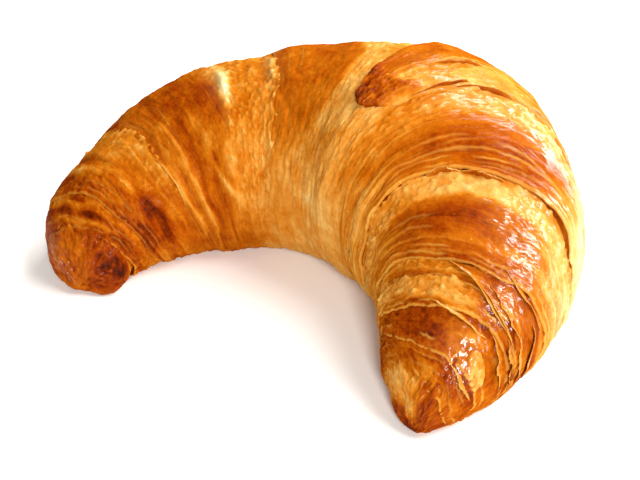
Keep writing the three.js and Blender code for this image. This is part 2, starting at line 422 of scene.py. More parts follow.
def blisters(along, around, seed):
    """Small bubbles of dry dough: the upper half of a slanting noise, sharpened into separate domes."""
    u, v = 0.8 * along + 0.6 * around, 0.8 * around - 0.6 * along
    domes = np.maximum(0, soft_noise(u / 1.5, v / 1.8, seed)) ** 1.5
    return 0.42 * domes + 0.3 * np.maximum(0, soft_noise(v / 0.9, u / 1.1, seed + 1)) ** 1.5


# Borders of the pale zone in the middle: turns, and the places there
PALE_MIDDLE_LEFT = (
    (-10, 30, 60, 83, 98, 108, 125, 135, 145),
    (0.06, 0.01, -0.04, -0.022, 0.0, 0.005, -0.002, -0.015, -0.05),
)
PALE_MIDDLE_RIGHT = (
    (44, 60, 70, 84, 95, 110, 121, 132, 145),
    (0.45, 0.423, 0.403, 0.39, 0.377, 0.39, 0.405, 0.407, 0.37),
)

# Browner and paler spots of the crust: place, turn, their spreads and the tone that they add
TONE_SPOTS = (
    (-0.745, 122, 0.04, 35, 0.08),
    (0.757, 110, 0.022, 35, 0.2),
    (-0.08, 95, 0.14, 20, 0.03),
    (-0.9, 110, 0.05, 45, 0.09),
    (-0.48, 100, 0.07, 30, 0.08),
    (-0.86, 150, 0.06, 40, 0.07),
    (-0.64, 105, 0.05, 22, -0.06),
    (0.63, 112, 0.04, 26, 0.07),
    (0.86, 115, 0.06, 35, 0.14),
    (0.65, 103, 0.05, 40, 0.24),
    (0.47, 85, 0.08, 40, 0.13),
    (0.12, 150, 0.2, 26, 0.02),
)
# The darkest patch, on the inner side near the left horn
BURNT_PATCH = ((-0.75, 165, 0.08, 25, 1.0),)
# Slow changes along the roll: the places where each begins and is complete, and the added tone
TONE_SLOPES = (
    (-0.2, -0.45, 0.04),
    (0.7, 0.85, 0.07),
    (-0.72, -0.9, 0.14),
    (0.3, 0.5, 0.03),
    (-0.2, -0.35, 0.01),
)
# Wide paler zones: where each begins and is complete in turns, in places at its left and in places
# at its right, and the tone it adds. The first two, on the inner side, are partly paler crust and
# partly painted light that lifts its shade; the last is a painted rim light and sheen on the outer
# right side.
PALE_AND_LIT_ZONES = (
    ((128, 165), (-0.32, -0.22), (0.95, 0.6), -0.19),
    ((180, 225), (-0.7, -0.3), (0.95, 0.7), -0.12),
    ((60, 22), (0.38, 0.46), (0.8, 0.66), -0.33),
)
BASE_TONE = 0.54
# Beyond these tones the crust changes more slowly
SOFT_DARK = 0.86
SOFT_PALE = 0.1


def oven_tone_and_painted_light(place, turn):
    """How brown the egg-washed crust is: a base tone plus slopes along the roll, spots and wide zones.

    The burnt patch is browner; the stripes and the oval flake are paler. Painted light is added too:
    the inner side is paler, partly as the crust's colour and partly as painted light lifting its
    shade; the outer right side is paler as a painted rim light and sheen, and the crust under the
    glints is paler as a painted highlight.
    """
    tone = BASE_TONE + sum(share * smooth(begins, full, place) for begins, full, share in TONE_SLOPES)
    tone = tone + spots(TONE_SPOTS, place, turn) + 0.27 * smooth(0.05, 0.7, spots(BURNT_PATCH, place, turn))
    for turns, left, right, share in PALE_AND_LIT_ZONES:
        tone = tone + share * smooth(*turns, turn) * smooth(*left, place) * smooth(*right, place)
    # Paler inner side and lower edge: partly the crust's colour, partly painted light lifting its shade.
    tone = tone - 0.13 * smooth(132, 150, turn) * smooth(200, 175, turn) * bell(place, 0.12, 0.22)
    tone = tone - 0.07 * smooth(158, 180, turn) * bell(place, 0.1, 0.25) + 0.02 * smooth(30, -20, turn)
    tone = tone - 0.27 * arm_stripes(place, turn) - 0.3 * oval_flake(place, turn)
    # Paler crust under the glints: a painted highlight.
    return tone - 0.12 * glint(place, turn) * smooth(0.3, 0.5, place)


# Where the baked egg wash lies thickest and shines: place, turn, their spreads and the share. The
# crust under them is also paler: a painted highlight.
GLINTS = (
    (0.635, 66, 0.055, 22, 1.2),
    (0.685, 42, 0.045, 26, 1.2),
    (0.59, 52, 0.035, 16, 0.7),
    (0.352, 77, 0.045, 11, 1.0),
    (0.39, 68, 0.04, 11, 0.9),
    (0.33, 100, 0.03, 8, 0.8),
    (0.43, 57, 0.05, 14, 1.2),
    (0.27, 93, 0.09, 7, 0.6),
    (0.52, 16, 0.12, 26, 1.2),
    (0.62, -8, 0.08, 20, 0.8),
    (0.875, 68, 0.03, 20, 1.0),
    (0.9, 38, 0.02, 18, 0.7),
    (0.775, 54, 0.028, 18, 1.2),
    (-0.423, 94, 0.026, 20, 1.3),
    (-0.27, 100, 0.03, 24, 0.5),
    (-0.97, 30, 0.05, 30, 0.5),
)


def glint(place, turn):
    """Share of thick egg wash: the sum of the spots, at most 1."""
    return np.clip(spots(GLINTS, place, turn), 0, 1)


def oven_gloss(place, turn, pale):
    """Thickness of the baked egg wash: a thin film, less on pale dough, and thick at the glints."""
    return 0.02 + 0.9 * (1 - 0.3 * pale) * glint(place, turn)


def pale_zones(layer, place, turn, from_low, from_high):
    """Share of unwashed pale dough and its tone: strips past the edge of the layer above it.

    A strip is 1 up to some millimetres from that edge and 0 a little further, times eases of the
    turn. On the middle layer it is the zone between two curves of the turn.
    """
    pale, tone = 0.0, 0.36
    name = layer["name"]
    if name == "left_layer_1":
        wavy = smooth(95, 115, turn) * smooth(170, 145, turn)
        wide = 19.5 + 5 * wavy * layered_noise(turn / 16, place * 5, 41)
        pale = 0.9 * smooth(wide + 2.5, wide - 2.5, from_high) * smooth(205, 180, turn) * smooth(40, 75, turn)
        tone = tone - 0.06 * smooth(130, 150, turn) + 0.12 * bell(place, -0.402, 0.025) * bell(turn, 121, 12)
    if name == "left_layer_2":
        upper = smooth(115, 92, turn)
        pale = (0.6 + 0.2 * upper) * smooth(10.5, 6, from_high)
        pale = pale * smooth(200, 170, turn) * smooth(20, 60, turn)
        tone = 0.42 - 0.1 * upper
    if name == "left_layer_3":
        pale = 0.5 * smooth(2.6, 1.2, from_high) * smooth(190, 150, turn)
    if name == "middle_layer":
        left = through_points(*PALE_MIDDLE_LEFT, turn)
        right = through_points(*PALE_MIDDLE_RIGHT, turn)
        inside = np.minimum(place - left, right - place) * HALF_LENGTH
        ragged = inside + 1.2 * layered_noise(place * 22, turn / 9, 47)
        pale = smooth(-1.8, 1.8, ragged) * smooth(155, 138, turn)
        tone = 0.23 + 0.19 * smooth(0.24, 0.32, place) * smooth(82, 98, turn) * smooth(165, 122, turn)
    if name == "right_layer_1":
        wide = 6.0 - 0.8 * smooth(90, 60, turn) + 0.8 * smooth(98, 112, turn)
        wide = wide - 3 * smooth(40, 10, turn) + 3 * smooth(140, 175, turn)
        ragged = from_low + layered_noise(place * 30, turn / 8, 49)
        pale = smooth(wide + 1.2, wide - 1.2, ragged) * smooth(205, 180, turn)
        tone = 0.17 + 0.15 * smooth(98, 125, turn)
    if name == "right_layer_2":
        pale = 0.8 * smooth(3.4, 1.6, from_low) * smooth(60, 90, turn)
    if name == "right_layer_3":
        pale = 0.9 * smooth(4.6, 2.4, from_low) * smooth(60, 90, turn) * smooth(185, 160, turn)
        tone = 0.24
    if name == "right_layer_5":
        pale = 0.5 * smooth(2.0, 0.8, from_high) * smooth(95, 120, turn)
    return pale, tone


def lifted_lip(border, inside, turn):
    """Height that a free edge curls up: bells of the turn times the nearness to the edge, eased."""
    lift = sum(high * bell(turn, middle, spread) for middle, spread, high in EDGE_LIFTS.get(border, ()))
    uneven = 0.75 + 0.5 * soft_noise(turn / 6, 0.5, 91)
    return lift * uneven * smooth(5.5, 0, inside) ** 1.5


def edge_relief(layer, turn, from_low, from_high, low_free, high_free):
    """Height and bright brink near the two borders of a layer; the brink is partly paler dough and
    partly a painted highlight.

    Half the drop fades with the distance as exp(-d / STEP_REACH): it raises the layer towards a free
    border, where the leaves end one by one and the lip curls up, and lowers it towards a tucked one.
    """
    height, brink = 0.0, 0.0
    for border, inside, free in ((layer["low"], from_low, low_free), (layer["high"], from_high, high_free)):
        half = stack_drop(border) / 2 * np.exp(-np.maximum(inside, 0) / STEP_REACH)
        if free:
            lost, line = leaf_steps(border, inside, turn)
            height = height + half - lost + lifted_lip(border, inside, turn)
            brink = brink + line * (0.35 if border == "left_0" else 1.0)
        else:
            height = height - half + 0.35 * smooth(3, 0, inside) - 1.3 * smooth(0, 4, -inside)
    return height, brink


def left_crest(turn, from_high):
    """Height and tone of the pale crest on the left arm and of the crumbly margin at its edge.

    Each is a bell of the distance from the edge times a bell of the turn; noise breaks them up. The
    crest's paler tone is a painted highlight; the margin's is partly pale dough, partly a painted
    highlight.
    """
    crest = bell(turn, 95, 23) * (0.9 + 0.3 * soft_noise(turn / 6, 0.5, 95))
    line = 17.5 - 2.6 * smooth(106, 82, turn) + 0.3 * soft_noise(turn / 5, 0.5, 94)
    margin = bell(turn, 102, 34) * smooth(-0.5, 0.4, soft_noise(turn / 3, from_high / 2.5, 96))
    height = crest * (1.1 * bell(from_high, line, 1.8) - 0.6 * bell(from_high, 12, 4))
    height = height + 0.6 * margin * bell(from_high, 1.4, 1.1)
    # Paler tone: a painted highlight on the crest; on the margin partly pale dough, partly highlight.
    tone = -0.56 * crest * bell(from_high, line - 0.5, 1.7) - 0.28 * margin * bell(from_high, 1.4, 1.2)
    return height, tone


def point_values(tone, gloss, brink, fibre, across, around, seed):
    """The five values at the points of a surface, each in the shape of the tone."""
    tone, gloss, brink, fibre = np.broadcast_arrays(tone, gloss, brink, fibre)
    flow = np.stack(np.broadcast_arrays(across, around, float(seed)), -1)
    return {"tone": tone, "gloss": gloss, "brink": brink, "fibre": fibre, "flow": flow}


def layer_fields(layer, place, turn, from_low, from_high, low_free, high_free):
    """Height of a layer's outer face over the smooth form, and the values at its points.

    The height adds up the borders, the broad lumps, the crust's relief, small leaves, creases and
    bubbles. The tone is that of the oven, blended into that of the pale dough.
    """
    name, seed = layer["name"], layer["seed"]
    left_arm = name.startswith("left")
    whole = np.maximum(from_low + from_high, 1.0)
    along = from_low / whole * whole.max()
    around = np.broadcast_to(np.radians(turn) * MIDDLE_RADIUS, along.shape)
    height, brink = edge_relief(layer, turn, from_low, from_high, low_free, high_free)

    arm = np.maximum(smooth(0.2, 0.5, np.abs(place)), 0.8 * smooth(62, 35, turn))
    open_middle = smooth(14, 22, from_high) * smooth(45, 70, turn) * (name == "middle_layer")
    inner = open_middle * smooth(112, 145, turn)
    calm_arm = smooth(-0.68, -0.6, place) * smooth(30, 55, turn) * left_arm
    strength = (0.3 + 0.7 * arm) * (1 - 0.85 * open_middle) * (1 - 0.6 * calm_arm)
    side = -1 if left_arm else 1
    leaf_height, leaf_brink, leaf_shade = shingles(along, around, seed + 50, side, strength)
    patch = layered_noise(along / 5, around / 8, seed + 5)
    pale, pale_tone = pale_zones(layer, place, turn, from_low, from_high)
    pale = np.clip(pale + 0.8 * patch * (4 * pale * (1 - pale)), 0, 1)

    relief, ridges = crust_relief(along, around, seed, 0.15 + 0.85 * arm)
    relief = relief * (1 - 0.4 * pale) * (1 - 0.75 * open_middle) * (1 - 0.6 * inner)
    creased = np.maximum(smooth(0.74, 0.84, np.abs(place)), 0.5 * glint(place, turn))
    creases = creased * crinkles(along, around, seed)
    bubbles = pale * blisters(along, around, seed + 60)
    if name == "middle_layer":
        bubbles = bubbles * (1 - 0.6 * smooth(98, 112, turn) * smooth(0.3, 0.2, place))
        slant = layered_noise((along + around) / 4.5, (around - along) / 4.5, 21, 2)
        height = height + 0.25 * open_middle * slant
    height = height + lumps(place, turn) + relief + leaf_height + 0.34 * creases + 1.4 * bubbles

    tone = oven_tone_and_painted_light(place, turn) + leaf_shade + 0.07 * patch
    tone = tone + 0.03 * layered_noise(along / 1.6, around / 14, seed + 6)
    tone = tone * (1 - pale) + (pale_tone + 0.1 * patch) * pale
    # Browner just past a tucked border, where the lip of the layer on top overhangs it: painted shade.
    if not low_free:
        tone = tone + 0.22 * smooth(1.8, 0.2, from_low) * bell(turn, 50, 45)
    # Paler on the ridges and browner between them: painted light.
    tone = tone - (0.11 if left_arm else 0.07) * ridges * (1 - pale)
    tone = tone - 0.09 * creases - 0.35 * bubbles + 0.05 * pale
    if name == "right_layer_5":
        height = height + 2.0 * smooth(6, 1, from_high) * bell(turn, 190, 40)
    if name == "left_layer_1":
        crest_height, crest_pale_and_highlight = left_crest(turn, from_high)
        height, tone = height + crest_height, tone + crest_pale_and_highlight
    tone = np.minimum(tone, SOFT_DARK + 0.3 * (tone - SOFT_DARK))
    tone = np.maximum(tone, SOFT_PALE + 0.4 * (tone - SOFT_PALE))
    brink = np.clip((brink + 0.4 * leaf_brink * (1 - 0.8 * calm_arm)) * (0.4 if left_arm else 1.0), 0, 1)
    # Paler at the brinks: partly paler dough, partly a painted highlight.
    tone = tone - 0.14 * brink * (1 - 0.6 * pale)

    gloss = oven_gloss(place, turn, pale) * (0.9 + 0.1 * patch)
    fibre = 0.9 * (1 - 0.7 * pale) * (1 - 0.7 * open_middle) * (1 - 0.5 * inner)
    values = point_values(tone, gloss, brink, fibre, along, around, seed)
    return height * clear_of_table(turn), values


def grid_quads(columns, rows):
    """Quads of a grid of rings: every column is a closed ring of rows."""
    c = np.arange(columns - 1)[:, None]
    r = np.arange(rows)[None, :]
    following = (r + 1) % rows
    a, b = c * rows + r, c * rows + following
    return np.stack([a, b, b + rows, a + rows], -1).reshape(-1, 4)


NO_TRIANGLES = np.zeros((0, 3), np.int64)


def add_object(name, data):
    """New object with this data in the scene."""
    thing = bpy.data.objects.new(name, data)
    bpy.context.scene.collection.objects.link(thing)
    return thing


def add_mesh(name, points, quads, triangles, fields, material):
    """Mesh object from arrays, turned so that its faces point outwards (its volume is positive)."""
    quads, triangles = np.asarray(quads, np.int64), np.asarray(triangles, np.int64)
    every = np.concatenate([quads[:, [0, 1, 2]], quads[:, [0, 2, 3]], triangles])
    corner = points[every]
    volume = np.einsum("ij,ij->i", corner[:, 0], np.cross(corner[:, 1], corner[:, 2])).sum()
    if volume < 0:
        quads, triangles = quads[:, ::-1], triangles[:, ::-1]
    loops = np.concatenate([quads.ravel(), triangles.ravel()]).astype(np.int32)
    sizes = np.concatenate([np.full(len(quads), 4), np.full(len(triangles), 3)])
    mesh = bpy.data.meshes.new(name)
    mesh.vertices.add(len(points))
    mesh.vertices.foreach_set("co", points.astype(np.float32).ravel())
    mesh.loops.add(len(loops))
    mesh.loops.foreach_set("vertex_index", loops)
    mesh.polygons.add(len(sizes))
    mesh.polygons.foreach_set("loop_start", (np.cumsum(sizes) - sizes).astype(np.int32))
    mesh.polygons.foreach_set("use_smooth", np.ones(len(sizes), bool))
    for key, values in fields.items():
        if values.ndim == 2:
            attribute = mesh.attributes.new(key, "FLOAT_VECTOR", "POINT")
            attribute.data.foreach_set("vector", values.astype(np.float32).ravel())
        else:
            attribute = mesh.attributes.new(key, "FLOAT", "POINT")
            attribute.data.foreach_set("value", values.astype(np.float32))
    mesh.update(calc_edges=True)
    mesh.materials.append(material)
    piece = add_object(name, mesh)
    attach(piece, "root")
    return piece


# The two ends: name, border of the last layer, side and noise seed
ENDS = (("left_end", "left_4", -1, 37), ("right_end", "right_5", 1, 43))
END_COLUMNS = 40
CAP_COLUMNS = 46
CAP_PLACE = 0.945
FACE_RADIUS = 11


def ring_turns():
    """Turns of the rows: about one a degree clear of the table, a few wide ones underneath."""
    return np.concatenate([np.linspace(*FREE_ROWS), np.linspace(*FLAT_ROWS)])


def point_list(values):
    """The values of a grid as one list, with a number or a vector for each point."""
    return values.reshape((-1,) + values.shape[2:])


def close_rings(grid, fields):
    """Points and faces of a stack of rings, each end closed by a pole at the middle of its ring."""
    columns, rows = grid.shape[:2]
    points = np.concatenate([grid.reshape(-1, 3), grid[0].mean(0)[None], grid[-1].mean(0)[None]])
    ends = {}
    for key, values in fields.items():
        poles = [values[0].mean(0)[None], values[-1].mean(0)[None]]
        ends[key] = np.concatenate([point_list(values)] + poles)
    r = np.arange(rows)
    following = (r + 1) % rows
    first, last = columns * rows, columns * rows + 1
    start = (columns - 1) * rows
    low_fan = np.stack([np.full(rows, first), following, r], -1)
    high_fan = np.stack([np.full(rows, last), start + r, start + following], -1)
    return points, grid_quads(columns, rows), np.concatenate([low_fan, high_fan]), ends


def lip_columns(layer, border, at, sign, turn, fields_at):
    """Rounded lip of a free edge: an arc of half the lip's thickness, from on top to underneath.

    Its upper outer side gets a bright brink and a paler tone as a painted highlight, and its
    underside a browner tone as painted shade.
    """
    radius = EDGE_STACKS[border][0] / 2 * (0.85 + 0.4 * soft_noise(turn / 5, 0.5, layer["seed"] + 70))
    place_top = at - sign * radius / HALF_LENGTH
    height_top, fields = fields_at(place_top)
    angles = np.radians(np.array(LIP_ANGLES))[:, None]
    place = place_top + sign * radius * np.cos(angles) / HALF_LENGTH
    height = height_top[None] - radius + radius * np.sin(angles)
    # Share of the lip's upper outer side, which faces the light: there goes a painted highlight.
    shade = np.clip((np.cos(angles) > 0.3) * np.sin(angles + 0.6), 0, 1)
    made = {key: np.repeat(values[None], len(angles), 0) for key, values in fields.items()}
    made["brink"] = np.maximum(made["brink"], (0.9 if sign > 0 else 0.4) * shade)
    # Paler on the upper outer side as a painted highlight, browner underneath as painted shade.
    made["tone"] = made["tone"] - 0.12 * shade + 0.25 * smooth(-0.2, -0.9, np.sin(angles))
    return place, height, made


def build_layer(layer, material):
    """One layer of dough: a sleeve around the roll from the edge of its neighbour to its own edge.

    A tucked border runs on under the neighbour; a free one ends in a rounded lip.
    """
    turn = ring_turns()
    low_free = layer["low"].startswith("left")
    high_free = layer["high"].startswith("right")
    low = edge_place(layer["low"], turn)
    high = edge_place(layer["high"], turn)
    low_lip = EDGE_STACKS[layer["low"]][0] / 2 if low_free else -TUCK
    high_lip = EDGE_STACKS[layer["high"]][0] / 2 if high_free else -TUCK
    start, end = low + low_lip / HALF_LENGTH, high - high_lip / HALF_LENGTH

    def fields_at(place):
        """Height and values of this layer at a place on every row."""
        from_low, from_high = (place - low) * HALF_LENGTH, (high - place) * HALF_LENGTH
        return layer_fields(layer, place, turn, from_low, from_high, low_free, high_free)

    share = np.linspace(0, 1, layer["columns"])[:, None]
    place = start * (1 - share) + end * share
    height, fields = fields_at(place)
    parts = [(place, height, fields)]
    if low_free:
        lip = lip_columns(layer, layer["low"], low, -1, turn, fields_at)
        turned = {key: values[::-1] for key, values in lip[2].items()}
        parts.insert(0, (lip[0][::-1], lip[1][::-1], turned))
    if high_free:
        parts.append(lip_columns(layer, layer["high"], high, 1, turn, fields_at))
    place = np.concatenate([p[0] for p in parts])
    height = np.concatenate([p[1] for p in parts])
    fields = {k: np.concatenate([p[2][k] for p in parts]) for k in parts[0][2]}
    grid = form_point(place, turn[None], height)
    return add_mesh(layer["name"], *close_rings(grid, fields), material)


def end_places(border, side, turn):
    """Places of an end's rings and their distances past the last layer's edge.

    They go evenly from under that layer to CAP_PLACE. From there the radius of the section falls
    evenly, so that the place is (1 - radius^2)^(1/n) as in closing().
    """
    foot = edge_place(border, turn)
    start = foot - side * TUCK / HALF_LENGTH
    joined = np.maximum(np.abs(foot) + 0.004, CAP_PLACE)
    share = np.linspace(0, 1, END_COLUMNS)[:, None]
    radius = np.linspace(closing(CAP_PLACE), 0.02, CAP_COLUMNS)
    cap = (1 - radius**2) ** (1 / HORN_ROUNDING)
    tail = side * (joined + (1 - joined) * ((cap - CAP_PLACE) / (1 - CAP_PLACE))[:, None])
    place = np.concatenate([start * (1 - share) + side * joined * share, tail[1:]])
    return place, (place - foot) * side * HALF_LENGTH


def build_end(name, border, side, seed, material):
    """A horn's end: from under its last layer to the blunt tip with its folded face.

    The crust is that of the layers. It blends into the face, which takes crinkles and folds from
    noises of its own flat coordinates. Bells of the turn shape a lobe on the inner side.
    """
    turn = ring_turns()[None]
    place, past = end_places(border, side, turn)
    across, around = place * HALF_LENGTH, np.radians(turn) * HORN_RADIUS
    radius = closing(place)
    face = smooth(0.93, 0.75, radius)
    flat_x = radius * np.cos(np.radians(turn)) * FACE_RADIUS
    flat_y = radius * np.sin(np.radians(turn)) * FACE_RADIUS
    crinkle = ridged_noise(flat_x / 3.2, flat_y / 4.5, seed + 8)
    fold = ridged_noise((flat_x + flat_y) / 2.4, (flat_x - flat_y) / 1.5, seed + 12, 2)
    push = side * face * (0.5 * crinkle + 0.35 * fold - 1.2 * smooth(0.7, 0.1, radius))

    relief, ridges = crust_relief(across, around, seed, 1.0)
    creases = crinkles(across, around, seed)
    leaf_height, leaf_brink, leaf_shade = shingles(across, around, seed + 50, side, 0.9)
    height = -stack_drop(border) / 2 * np.exp(-np.maximum(past, 0) / STEP_REACH) - smooth(0, 4, -past)
    height = height + lumps(place, turn) + relief + 0.34 * creases + leaf_height * (1 - face)
    patch = layered_noise(across / 5, around / 7, seed + 5) * (1 - face)
    patch = patch + layered_noise(flat_x / 4, flat_y / 4, seed + 9) * face
    tone = oven_tone_and_painted_light(place, turn) + 0.09 * patch - 0.09 * creases
    # Paler at the leaves' brinks, partly a painted highlight; paler on ridges, browner between: painted
    # light.
    tone = tone + (leaf_shade - 0.1 * leaf_brink - 0.07 * ridges) * (1 - face)
    if name == "left_end":
        corner = bell(turn, 205, 36)
        push = push + 1.3 * corner * smooth(0.98, 0.8, radius)
        height = height + corner * (8.5 * bell(radius, 0.58, 0.26) - 2.0 * bell(past, 0.5, 2.5))
        height = height + 0.18 * (fold + crinkle) * face * smooth(0.1, 0.4, radius)
        burnt = face * bell(turn, 180, 52) * smooth(0.1, 0.4, radius)
        tone = tone + burnt * (0.29 - 0.16 * crinkle) - face * (0.04 + 0.05 * fold)
        tone = tone - 0.08 * bell(turn, 75, 35) * bell(past, 9, 6)
    else:
        lobe = 4.0 * bell(radius, 0.5, 0.25) - 1.5 * bell(past, 3, 3)
        height = height + lobe * bell(turn, 190, 38)
        tone = tone + 0.1 + 0.1 * smooth(3.5, 5.5, past)
        tone = tone - 0.4 * smooth(4.5, 2.5, past) * smooth(70, 100, turn)
    grid = form_point(place, turn, height * clear_of_table(turn), push)
    gloss = oven_gloss(place, turn, 0.0) + 0.05 * face
    flow = (across + face * flat_x, around * (1 - face) + 2 * flat_y * face)
    fields = point_values(tone, gloss, 0.3 * leaf_brink * (1 - face), 0.7, *flow, seed)
    return add_mesh(name, *close_rings(grid, fields), material)


def slab_faces(columns, rows):
    """Faces of a closed slab: a top grid, the same grid below it turned over, and four side strips."""
    index = np.arange(columns * rows).reshape(columns, rows)
    below = index + columns * rows
    top = np.stack([index[:-1, :-1], index[1:, :-1], index[1:, 1:], index[:-1, 1:]], -1).reshape(-1, 4)
    under = np.stack([below[:-1, :-1], below[:-1, 1:], below[1:, 1:], below[1:, :-1]], -1).reshape(-1, 4)
    rim = np.concatenate([index[:, 0], index[-1, 1:], index[-2::-1, -1], index[0, -2:0:-1]])
    following = np.roll(rim, -1)
    down = columns * rows
    wall = np.stack([following, rim, rim + down, following + down], -1)
    return np.concatenate([top, under, wall])


def slab_values(fields, underside_shade):
    """Values at the points of a slab: those of the top, and again underneath with a browner tone,
    which is painted shade.
    """
    doubled = {}
    for key, values in fields.items():
        flat = point_list(values)
        doubled[key] = np.concatenate([flat, flat + (underside_shade if key == "tone" else 0)])
    return doubled


def tongue_form():
    """Places, turns and shares of width of the tongue's grid, and the distances from its borders.

    The rows run from behind to the tip. The columns share out the width between two curves of the
    turn, made wavy by noise.
    """
    columns, rows = TONGUE_GRID
    share = np.linspace(0, 1, columns)[:, None]
    length = np.linspace(0, 1, rows)[None]
    ragged = 0.9 * soft_noise(share * 7, 0.5, 71) + 0.5 * soft_noise(share * 21, 0.5, 72)
    tip = TONGUE_TIP - 4.5 * (2 * share - 1) ** 4 - 5 * smooth(0.35, 1.0, share) + ragged
    turn = TONGUE_START + (tip - TONGUE_START) * length**0.9
    left = through_points(TONGUE_TURNS, TONGUE_LEFT, turn)
    left = left + 0.9 * soft_noise(turn / 9, 0.5, 73) / HALF_LENGTH
    waves = 1.3 * soft_noise(turn / 11, 0.5, 74) + 0.4 * soft_noise(turn / 2.5, 0.5, 78)
    right = through_points(TONGUE_TURNS, TONGUE_RIGHT, turn) + waves / HALF_LENGTH
    place = left * (1 - share) + right * share
    from_left, from_right = (place - left) * HALF_LENGTH, (right - place) * HALF_LENGTH
    return place, turn, share, from_left, from_right, np.radians(tip - turn) * TONGUE_RADIUS


def tongue_steps(from_right, turn):
    """Height lost and bright line of the leaves that end before the right border, as in leaf_steps."""
    lost, brink = 0.0, 0.0
    for k, (distance, drop) in enumerate(TONGUE_LEAVES):
        line = distance + 1.3 * soft_noise(turn / 12, k + 0.5, 75)
        line = line + 0.3 * soft_noise(turn / 3, k + 0.5, 76)
        there = smooth(-0.6, 0.2, soft_noise(turn / 15, k + 0.5, 82))
        lost = lost + drop * (0.4 + 0.6 * there) * sigmoid_drop(from_right, line, 0.16)
        # The bright line: partly paler dough, partly a painted highlight on the leaf's edge.
        brink = brink + there * bell(from_right - line, 0.2, 0.3)
    return lost, brink


def build_tongue(material):
    """The tongue: a slab across the top, crinkled and brown at its tip, with leaves on its right side.

    Its height is an even thickness less the leaves' steps, plus crinkles at the tip, a curled right
    lip and the crust's relief. Its borders are rounded as quarter circles.
    """
    place, turn, share, from_left, from_right, from_tip = tongue_form()
    across, around = place * HALF_LENGTH, np.radians(turn) * TONGUE_RADIUS
    near_tip = smooth(11.5, 8, from_tip + 1.5 * layered_noise(across / 4, around / 4, 84))
    tip_zone = near_tip * smooth(0.98, 0.75, share)
    crinkle = ridged_noise(across / 3.2, around / 3.2, 77)
    fold = ridged_noise(across / 1.5, around / 1.5, 89)
    lip = (1.1 * bell(turn, 80, 22) + 0.55 * bell(turn, 42, 16)) * (0.7 + 0.5 * soft_noise(turn / 5, 0.5, 85))
    behind = smooth(60, 35, turn)
    leaf_height, leaf_brink, leaf_shade = shingles(across, around, 92, 1, 0.8 * behind)
    relief, ridges = crust_relief(across, around, 79, 0.7)
    lost, brink = tongue_steps(from_right, turn)
    height = TONGUE_THICK - lost * (1 - 0.7 * tip_zone) + tip_zone * (0.25 + 0.4 * crinkle + 0.25 * fold)
    height = height + lip * smooth(4.5, 0, from_right) ** 1.5 + relief + leaf_height
    for inside, radius in ((from_left, 0.9), (from_right, 0.4), (from_tip, 0.8)):
        inner = np.clip(inside / radius, 0, 1)
        height = height - radius * (1 - np.sqrt(1 - (1 - inner) ** 2))

    patch = layered_noise(across / 3.5, around / 6, 81)
    cream = smooth(1.0, -1.0, from_right - 10.0 + 1.5 * layered_noise(across / 5, around / 9, 86))
    cream = cream * (1 - tip_zone) * smooth(38, 60, turn)
    cream = np.clip(cream + 0.8 * patch * 4 * cream * (1 - cream), 0, 1)
    height = height + 0.7 * cream * blisters(across, around, 88)
    # Paler on the ridges and browner between them: painted light.
    tone = oven_tone_and_painted_light(place, turn) + 0.07 * patch + leaf_shade - 0.08 * behind * ridges
    tone = tone * (1 - cream) + (0.3 + 0.13 * patch) * cream
    mottled = 0.3 + 0.12 * layered_noise(across / 1.6, around / 1.6, 83)
    tone = tone + tip_zone * (mottled - 0.14 * crinkle - 0.1 * fold)

    fade = smooth(TONGUE_START, -20, turn)
    high = height * fade - 1.5 * (1 - fade)
    hollow = (lip - 0.5) * smooth(4.0, 0, from_right) * smooth(0.2, 0.9, lip)
    low = np.minimum((hollow - 1.4) * fade - 3.0 * (1 - fade), high - 0.35)
    base = lumps(place, turn)
    grid = np.stack([form_point(place, turn, high + base), form_point(place, turn, low + base)])
    # The curled right lip gets a bright brink and paler tone: partly paler dough, partly painted highlight.
    curled = 0.7 * smooth(0.8, 0.2, from_right) * smooth(0.2, 0.6, lip)
    brink = np.clip(brink + 0.4 * leaf_brink + curled, 0, 1)
    tone = tone - 0.1 * brink * (1 - cream)
    gloss = oven_gloss(place, turn, cream) + 0.05 * tip_zone
    fields = point_values(tone, gloss, brink * (1 - tip_zone), 0.6, across, around, 79)
    faces = slab_faces(*TONGUE_GRID)
    # Underneath, the tongue's tone is browner by 0.3: painted shade.
    return add_mesh("tongue", grid.reshape(-1, 3), faces, NO_TRIANGLES, slab_values(fields, 0.3), material)


# Rings along a loose leaf and points across it
LEAF_GRID = (90, 9)
